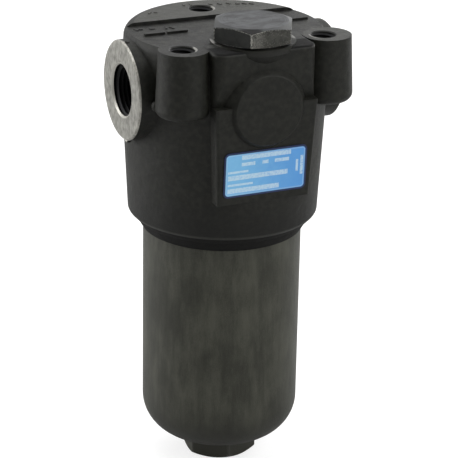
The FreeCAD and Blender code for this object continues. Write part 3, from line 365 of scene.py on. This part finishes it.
def placed(name, body, points, faces, finish, smooth=False):
    """A mesh from points in the millimetres of this file, riding on a body and made of the head's metal."""
    mesh = bpy.data.meshes.new(name)
    rows = (np.asarray(points) + (0.0, AXIS_BACK, -FACE_HEIGHT)) / 1000.0
    mesh.from_pydata(rows.tolist(), [], [list(map(int, face)) for face in faces])
    mesh.polygons.foreach_set("use_smooth", [smooth] * len(mesh.polygons))
    mesh.materials.append(finish)
    piece = bpy.data.objects.new(name, mesh)
    bpy.context.scene.collection.objects.link(piece)
    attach(piece, body)


def ridge(root, crest, pitch, ends, steps=40):
    """Thread ridge as (radius, angle, height) rows: at angle a its middle is at height low + pitch a / 2 pi.

    Its profile has four corners, two on the wall and two on the crest, and the crest rises from the wall
    over the first half turn and falls back to it over the last.
    """
    low, high = ends
    turns = (high - low) / pitch
    angle = np.linspace(0.0, 2 * np.pi * turns, int(turns * steps))
    middle = low + pitch * angle / (2 * np.pi)
    rise = np.clip(np.minimum(angle, angle[-1] - angle) / np.pi, 0.03, 1.0)
    top = root - (root - crest) * rise
    wall = np.full_like(top, root + 0.08)
    radius = np.stack([wall, top, top, wall], axis=1)
    height = np.stack([middle + share * pitch for share in (-0.46, -0.07, 0.07, 0.46)], axis=1)
    first = 4 * np.arange(len(angle) - 1)[:, None]
    corner = np.arange(4)
    beside = (corner + 1) % 4
    quads = np.stack([first + corner, first + beside, first + 4 + beside, first + 4 + corner], axis=2)
    last = 4 * (len(angle) - 1)
    faces = quads.reshape(-1, 4).tolist() + [[3, 2, 1, 0], [last, last + 1, last + 2, last + 3]]
    return radius.ravel(), np.repeat(angle, 4), height.ravel(), faces


# Painted shade: the cut threads are coloured near black, as the insides of the bores lie in shade.
cut = Finish("cut_thread", metallic=0.3, specular_ior_level=0.2)
marks = cut.noise(1.6, detail=3.0)
cut.feed(base_color=marks.mix((0.006, 0.006, 0.007), (0.017, 0.017, 0.018)), roughness=0.5 + marks * 0.25,
         bump=marks * 0.03)
radius, angle, along, faces = ridge(PORT_THREAD_RADIUS, PORT_CREST, PORT_PITCH, PORT_THREAD_ENDS)
for name, side_sign in (("inlet_thread", -1), ("outlet_thread", 1)):
    points = np.stack([side_sign * along, side_sign * radius * np.cos(angle), radius * np.sin(angle)], axis=1)
    placed(name, "head", points, faces, cut.material)
radius, angle, along, faces = ridge(HOLE_ROOT, HOLE_CREST, HOLE_PITCH, HOLE_THREAD_ENDS, steps=28)
for number, (hole_x, hole_y, _) in enumerate(HOLES, start=1):
    points = np.stack([hole_x + radius * np.cos(angle), hole_y + radius * np.sin(angle), along], axis=1)
    placed(f"mounting_thread_{number}", "head", points, faces, cut.material)


# Head: cast marks
# Short plain bars and round pips stand up from the deck and from the rear of the top face, and three low
# lumps of flash lie on the mould's parting line.
MARK_SINK = 0.15


def pad_of(across, back, up, length, width, height, turn=0.0, sides=4):
    """A low prism with drafted sides: corners at (length/2 cos, width/2 sin), narrowed by a fifth on top."""
    corner = (np.arange(sides) + 0.5) * 2 * np.pi / sides
    reach = 1.0 / np.cos(np.pi / sides)
    ring = np.stack([np.cos(corner) * length / 2 * reach, np.sin(corner) * width / 2 * reach], axis=1)
    spin = np.array([[math.cos(turn), math.sin(turn)], [-math.sin(turn), math.cos(turn)]])
    foot = ring @ spin + (across, back)
    crown = ring * 0.8 @ spin + (across, back)
    points = np.vstack([np.column_stack([foot, np.full(sides, up - MARK_SINK)]),
                        np.column_stack([crown, np.full(sides, up + height)])])
    index = np.arange(sides)
    beside = (index + 1) % sides
    faces = np.stack([index, beside, beside + sides, index + sides], axis=1).tolist()
    return points, faces + [index[::-1].tolist(), (index + sides).tolist()]


DECK_TOP = 21.6
MARKS = [(-35.4, 8.3, DECK_TOP, 0.9, 3.4, 0.4, 0.2, 4), (-33.2, 8.6, DECK_TOP, 2.2, 2.2, 0.4, 0.0, 12),
         (-28.6, 8.0, DECK_TOP, 3.2, 3.0, 0.4, 0.0, 14), (-23.0, 6.6, DECK_TOP, 0.9, 3.2, 0.4, -0.3, 4),
         (-20.8, 6.2, DECK_TOP, 0.9, 3.2, 0.4, 0.3, 4)]
REAR_PLACES = [(-22.8, 24.9), (-20.0, 25.5), (-5.0, 31.4), (-2.0, 31.2), (6.2, 29.2), (9.7, 27.9),
               (13.5, 27.2), (17.0, 25.8), (19.7, 24.7), (22.4, 23.5)]
for number, (across, back) in enumerate(REAR_PLACES):
    length, sides = (2.0, 12) if number % 3 == 1 else (0.9, 4)
    MARKS.append((across, back, FACE_HEIGHT, length, 2.6, 0.35, math.atan2(across, back), sides))
points = np.empty((0, 3))
faces = []
for mark in MARKS:
    more, around = pad_of(*mark)
    faces += [[corner + len(points) for corner in face] for face in around]
    points = np.vstack([points, more])
placed("cast_marks", "head", points, faces, iron.material)
FLASH = [((-43.3, -1.6, 20.2), (1.2, 1.4, 0.6)), ((-43.3, -3.4, -20.2), (1.3, 1.8, 0.9)),
         ((-40.0, -23.1, -0.3), (1.2, 1.6, 2.0))]
for number, (middle, size) in enumerate(FLASH, start=1):
    # A squashed ball: x = a cos u cos v, y = b sin u cos v, z = c sin v.
    u, v = np.meshgrid(np.linspace(0, 2 * np.pi, 16, endpoint=False), np.linspace(-1.5, 1.5, 9))
    points = np.stack([np.cos(u) * np.cos(v), np.sin(u) * np.cos(v), np.sin(v)], axis=2) * size + middle
    index = np.arange(16 * 8).reshape(8, 16)
    beside = np.roll(index, -1, axis=1)
    quads = np.stack([index, beside, beside + 16, index + 16], axis=2).reshape(-1, 4).tolist()
    caps = [list(range(15, -1, -1)), list(range(16 * 8, 16 * 9))]
    placed(f"flash_{number}", "head", points.reshape(-1, 3), quads + caps, iron.material, smooth=True)


# Plug
# Phosphated steel: a turned top, dark flats, and bare specks worn along the corners and the lower edge.
# Painted light makes the flats right of the front corner lighter, and the top chamfer dark about the front
# corner and lighter elsewhere.
PLUG_TOP = 31.9
PLUG_LOW = 24.55
PLUG_CORNER = 17.32
PLUG_FACE = 13.9
PLUG_CHAMFER = math.radians(22.0)
FRONT_CORNER = 7.8
steel = Finish("plug_steel", specular_ior_level=0.5)
from_axis = steel.around(0.0, -PLUG_OFFSET)
tool = steel.at.node("TexNoise", {"W": from_axis * 2.2, "Scale": 1.0, "Detail": 2.0}, noise_dimensions="1D")
blotch = steel.noise(0.35, detail=3.0, roughness=0.6)
speck = steel.noise(2.6, detail=3.0, roughness=0.7, seed=(4.0, 4.0, 9.0))
top_face = steel.z.ramp(PLUG_TOP - 0.1, PLUG_TOP - 0.05)
corner = from_axis.ramp(PLUG_CORNER - 0.5, PLUG_CORNER - 0.1)
foot = (1.0 - steel.z.ramp(PLUG_LOW + 0.05, PLUG_LOW + 0.5)) * steel.z.ramp(PLUG_LOW - 0.2, PLUG_LOW - 0.1)
fall = (from_axis - PLUG_FACE) * math.tan(PLUG_CHAMFER) + steel.z - PLUG_TOP
below_top = 1.0 - steel.z.ramp(PLUG_TOP - 0.2, PLUG_TOP - 0.15)
flank = (1.0 - fall.ramp(-0.12, -0.04)) * below_top
brow = fall.band(-0.35, -0.12, 0.12) * below_top
lit_side = (steel.x + FRONT_CORNER).ramp(-0.3, 0.3)
by_corner = 1.0 - (steel.x + 6.5).math("ABSOLUTE").ramp(2.0, 6.0)
edges = (corner * flank).math("MAXIMUM", foot * from_axis.ramp(14.9, 15.0)).math("MAXIMUM", brow)
worn = (edges * 0.55 + speck * 1.2 - 0.45 + by_corner * 0.1).ramp(0.66, 0.9)
freckles = (speck - 0.52 + by_corner * 0.12).ramp(0.03, 0.18) * flank * lit_side
shank = 1.0 - steel.z.ramp(PLUG_LOW - 0.4, PLUG_LOW - 0.3)
dark = blotch.ramp(0.3, 0.7).mix((0.010, 0.011, 0.010), (0.022, 0.023, 0.021))
lit_flats = blotch.ramp(0.3, 0.7).mix((0.034, 0.034, 0.030), (0.060, 0.060, 0.052))
# Painted light: the flats right of the front corner take a lighter copy of the dark steel.
colour = lit_side.mix(dark, lit_flats)
# Painted light and shade on the top chamfer: near black about the front corner, lighter elsewhere.
cone = from_axis.ramp(PLUG_FACE, PLUG_FACE + 0.1) * (1.0 - flank)
lit = (steel.x + FRONT_CORNER).math("ABSOLUTE").ramp(3.5, 6.0)
lit = lit.math("MAXIMUM", (steel.y + PLUG_OFFSET).ramp(-12.0, -9.0))
colour = cone.mix(colour, lit.mix((0.004, 0.004, 0.004), (0.060, 0.062, 0.062)))
cloudy = steel.noise(0.11, stretch=(0.7, 1.6, 1.0), detail=3.0, roughness=0.6, seed=(6.0, 3.0, 1.0))
bright = (tool * 0.2 + blotch * 0.3 + cloudy * 0.5).ramp(0.40, 0.60)
bright = bright.mix((0.017, 0.018, 0.019), (0.078, 0.081, 0.086))
colour = top_face.mix(colour, bright)
colour = (worn * 0.85).math("MAXIMUM", freckles * 0.35).mix(colour, (0.46, 0.45, 0.41))
colour = shank.mix(colour, (0.20, 0.20, 0.20))
plug_angle = (steel.y + PLUG_OFFSET).math("ARCTAN2", steel.x) / (2 * math.pi)
plug_helix = (steel.z / PORT_PITCH + plug_angle).math("FRACT")
plug_thread = (plug_helix - 0.5).math("ABSOLUTE") * steel.z.band(12.0, 22.5, 0.3) * from_axis.ramp(10.2, 10.3)
wear("indicator_plug", steel.feed(
    base_color=colour, metallic=0.45 + worn * 0.4, roughness=0.50 + blotch * 0.16 - worn * 0.15,
    bump=tool * 0.03 * top_face + speck * 0.05 * (1.0 - top_face) + plug_thread * 1.6))


# Seals and backup rings
# Black nitrile with a faint moulding grain, and pale backup rings with fine turning lines.
rubber = Finish("nitrile", specular_ior_level=0.45)
grain = rubber.noise(3.0, detail=3.0)
rubber.feed(base_color=grain.mix((0.008, 0.008, 0.008), (0.020, 0.020, 0.020)), roughness=0.45 + grain * 0.25,
            bump=grain * 0.03)
for name in ("plug_seal_washer", "bowl_o_ring", "plug_spigot_o_ring", "element_spigot_o_ring"):
    wear(name, rubber.material)
pale_ring = Finish("backup_ring", specular_ior_level=0.4)
line = pale_ring.noise(1.2, stretch=(1.0, 1.0, 6.0), detail=2.0)
pale_ring.feed(base_color=line.mix((0.62, 0.58, 0.48), (0.78, 0.75, 0.66)), roughness=0.4 + line * 0.2,
               bump=line * 0.02)
for name in ("bowl_backup_ring", "plug_spigot_backup_ring"):
    wear(name, pale_ring.material)


# Label
# Sky-blue film with a dark edge and a pale inner line. Plain pale bars stand where printed lines would be.
LABEL_MIDDLE = -26.4
LABEL_SIZE = (35.8, 18.9)
LABEL_CORNER = 2.2
BARS = [(-0.29, 0.30, 0.83, 0.92), (-0.29, -0.13, 0.69, 0.76), (-0.04, 0.03, 0.69, 0.76),
        (0.11, 0.28, 0.69, 0.76), (-0.45, -0.21, 0.545, 0.585), (-0.45, 0.27, 0.39, 0.49),
        (-0.45, -0.15, 0.26, 0.30), (-0.45, 0.17, 0.10, 0.20), (0.37, 0.395, 0.42, 0.68),
        (0.425, 0.455, 0.34, 0.76)]
film = Finish("label_film", coat_weight=0.25, coat_roughness=0.25, specular_ior_level=0.5)
across = film.x / LABEL_SIZE[0]
up = (film.z - LABEL_MIDDLE) / (LABEL_SIZE[1] * math.cos(math.radians(3.0))) + 0.5
inset_x = film.x.math("ABSOLUTE") - (LABEL_SIZE[0] / 2 - LABEL_CORNER)
inset_z = (film.z - LABEL_MIDDLE).math("ABSOLUTE") - (LABEL_SIZE[1] / 2 - LABEL_CORNER)
out_x = inset_x.math("MAXIMUM", 0.0)
out_z = inset_z.math("MAXIMUM", 0.0)
edge = (out_x * out_x + out_z * out_z).math("SQRT") - LABEL_CORNER
printed = None
for left, far, low, high in BARS:
    bar = across.band(left, far, 0.004) * up.band(low, high, 0.008)
    printed = bar if printed is None else printed.math("MAXIMUM", bar)
mottle = film.noise(0.5, detail=3.0)
fade = (across + 0.5 + (mottle - 0.5) * 0.35).ramp(0.0, 1.0)
colour = fade.mix((0.20, 0.53, 0.86), (0.095, 0.35, 0.79))
faint = film.noise(1.4, detail=2.0, seed=(7.0, 1.0, 1.0)).ramp(0.25, 0.6)
colour = (printed * (0.35 + faint * 0.45)).mix(colour, (0.62, 0.80, 0.92))
colour = (edge.band(-1.3, -1.05, 0.15) * 0.45).mix(colour, (0.42, 0.60, 0.85))
colour = edge.ramp(-0.85, -0.7).mix(colour, (0.003, 0.016, 0.080))
wear("label_plate", film.feed(base_color=colour, roughness=0.38 + mottle * 0.15, bump=mottle * 0.02))


# Bowl
# Phosphated steel tube: upright drawing streaks, darker towards its lower end, and a foot with worn edges.
# Its screwed neck and its inside are machined.
SHOULDER = -62.6
BOWL_FLOOR = -156.8
BOWL_PITCH = 2.0
bowl = Finish("bowl_steel", specular_ior_level=0.5)
bowl_radius = bowl.around(0.0, 0.0)
streak = bowl.noise(0.40, stretch=(1.0, 1.0, 0.16), detail=4.0, roughness=0.6)
fine = bowl.noise(2.2, stretch=(1.0, 1.0, 0.12), detail=3.0, roughness=0.6, seed=(5.0, 5.0, 0.0))
cloud = bowl.noise(0.09, stretch=(1.0, 1.0, 0.6), detail=3.0, seed=(2.0, 8.0, 6.0))
grit = bowl.noise(4.0, detail=3.0, roughness=0.65, seed=(9.0, 0.0, 2.0))
blot = bowl.noise(0.14, stretch=(1.0, 1.0, 0.35), detail=5.0, roughness=0.62, seed=(4.0, 1.0, 7.0))
wall = (streak * 0.22 + fine * 0.08 + cloud * 0.35 + grit * 0.35).ramp(0.34, 0.66)
mottled = (wall * 0.6 + blot * 0.4).ramp(0.2, 0.85)
colour = mottled.mix((0.022, 0.0226, 0.0150), (0.068, 0.069, 0.052))
low_part = 1.0 - bowl.z.ramp(-156.0, -128.0)
colour = (low_part * 0.75).mix(colour, (0.016, 0.016, 0.012))
foot_part = 1.0 - bowl.z.ramp(BOWL_FLOOR - 0.3, BOWL_FLOOR - 0.1)
foot_worn = (bowl_radius.ramp(15.2, 16.0) * foot_part + grit - 0.25).ramp(0.95, 1.15)
colour = (foot_part * 0.8).mix(colour, (0.060, 0.060, 0.048))
colour = (foot_worn * 0.25).mix(colour, (0.13, 0.128, 0.115))
machined = grit.mix((0.20, 0.20, 0.19), (0.30, 0.30, 0.28))
neck = bowl.z.ramp(SHOULDER + 0.05, SHOULDER + 0.15)
colour = neck.mix(colour, machined)
bowl_helix = (bowl.z / BOWL_PITCH + bowl.y.math("ARCTAN2", bowl.x) / (2 * math.pi)).math("FRACT")
bowl_thread = (bowl_helix - 0.5).math("ABSOLUTE") * bowl.z.band(-47.5, -31.5, 0.4)
bowl_thread = bowl_thread * bowl_radius.ramp(29.5, 29.7)
wear("bowl", bowl.feed(
    base_color=colour, metallic=0.25 + neck * 0.6, roughness=0.40 + fine * 0.12 + cloud * 0.08,
    bump=fine * 0.04 * (1.0 - neck) + grit * 0.05 + bowl_thread * 1.8))


# Element
# Zinc-plated caps, a perforated tube of drawn steel, wire mesh folds over a pale glass-fibre medium, and
# amber resin in the caps.
zinc = Finish("cap_steel", specular_ior_level=0.5)
spangle = zinc.noise(0.5, detail=3.0)
scuff = zinc.noise(2.5, stretch=(1.0, 1.0, 0.3), detail=3.0)
zinc.feed(base_color=spangle.mix((0.42, 0.43, 0.45), (0.58, 0.59, 0.60)), metallic=0.85 + spangle * 0.1,
          roughness=0.3 + scuff * 0.2, bump=scuff * 0.02)
for name in ("element_top_cap", "element_bottom_cap"):
    wear(name, zinc.material)
tube = Finish("core_steel", specular_ior_level=0.5)
drawn = tube.noise(1.5, stretch=(1.0, 1.0, 0.08), detail=3.0)
wear("element_core_tube", tube.feed(
    base_color=drawn.mix((0.36, 0.36, 0.36), (0.52, 0.52, 0.51)), metallic=0.85 + drawn * 0.1,
    roughness=0.32 + drawn * 0.2, bump=drawn * 0.02))
mesh_finish = Finish("pleat_mesh", specular_ior_level=0.5)
turned_by = mesh_finish.y.math("ARCTAN2", mesh_finish.x)
warp = (mesh_finish.z * 9.0).math("SINE")
weft = (turned_by * 170.0 + mesh_finish.around(0.0, 0.0) * 7.0).math("SINE")
weave = (warp * weft * 0.5 + 0.5).ramp(0.2, 0.8)
mesh_finish.feed(base_color=weave.mix((0.16, 0.16, 0.16), (0.52, 0.52, 0.51)), metallic=0.5 + weave * 0.45,
                 roughness=0.5 - weave * 0.15, bump=weave * 0.12)
for name in ("element_inner_mesh", "element_outer_mesh"):
    wear(name, mesh_finish.material)
medium = Finish("filter_medium", specular_ior_level=0.2)
fibre = medium.noise(1.8, stretch=(1.0, 1.0, 0.5), detail=5.0, roughness=0.75)
wear("element_media", medium.feed(base_color=fibre.mix((0.60, 0.56, 0.46), (0.80, 0.77, 0.68)),
                                  roughness=0.8 + fibre * 0.15, bump=fibre * 0.1))
resin = Finish("bond_resin", specular_ior_level=0.5)
pool = resin.noise(0.4, detail=3.0)
resin.feed(base_color=pool.mix((0.42, 0.24, 0.07), (0.60, 0.38, 0.13)), roughness=0.3 + pool * 0.2,
           bump=pool * 0.05)
for name in ("element_top_bond", "element_bottom_bond"):
    wear(name, resin.material)


# Bypass valve
# Turned steel poppet and bridge, and a bright spring with its drawing lines. The spring stands under the
# bridge, and in the valve it shortens towards it as the poppet rises; here it only gets a mesh of its own.
valve = Finish("valve_steel", specular_ior_level=0.5)
lathe_place = valve.around(0.0, 0.0) * 3.0 + valve.z * 2.0
lathe = valve.at.node("TexNoise", {"W": lathe_place, "Scale": 1.0, "Detail": 2.0}, noise_dimensions="1D")
valve.feed(base_color=lathe.mix((0.34, 0.34, 0.33), (0.50, 0.50, 0.49)), metallic=0.85 + lathe * 0.1,
           roughness=0.28 + lathe * 0.2, bump=lathe * 0.02)
for name in ("bypass_poppet", "bypass_bridge"):
    wear(name, valve.material)
wire = Finish("spring_steel", specular_ior_level=0.5)
pull = wire.noise(2.0, detail=3.0)
wear("bypass_spring", wire.feed(base_color=pull.mix((0.30, 0.30, 0.31), (0.46, 0.46, 0.47)),
                                metallic=0.88 + pull * 0.1, roughness=0.25 + pull * 0.2, bump=pull * 0.02))
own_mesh(nodes["bypass_spring"])
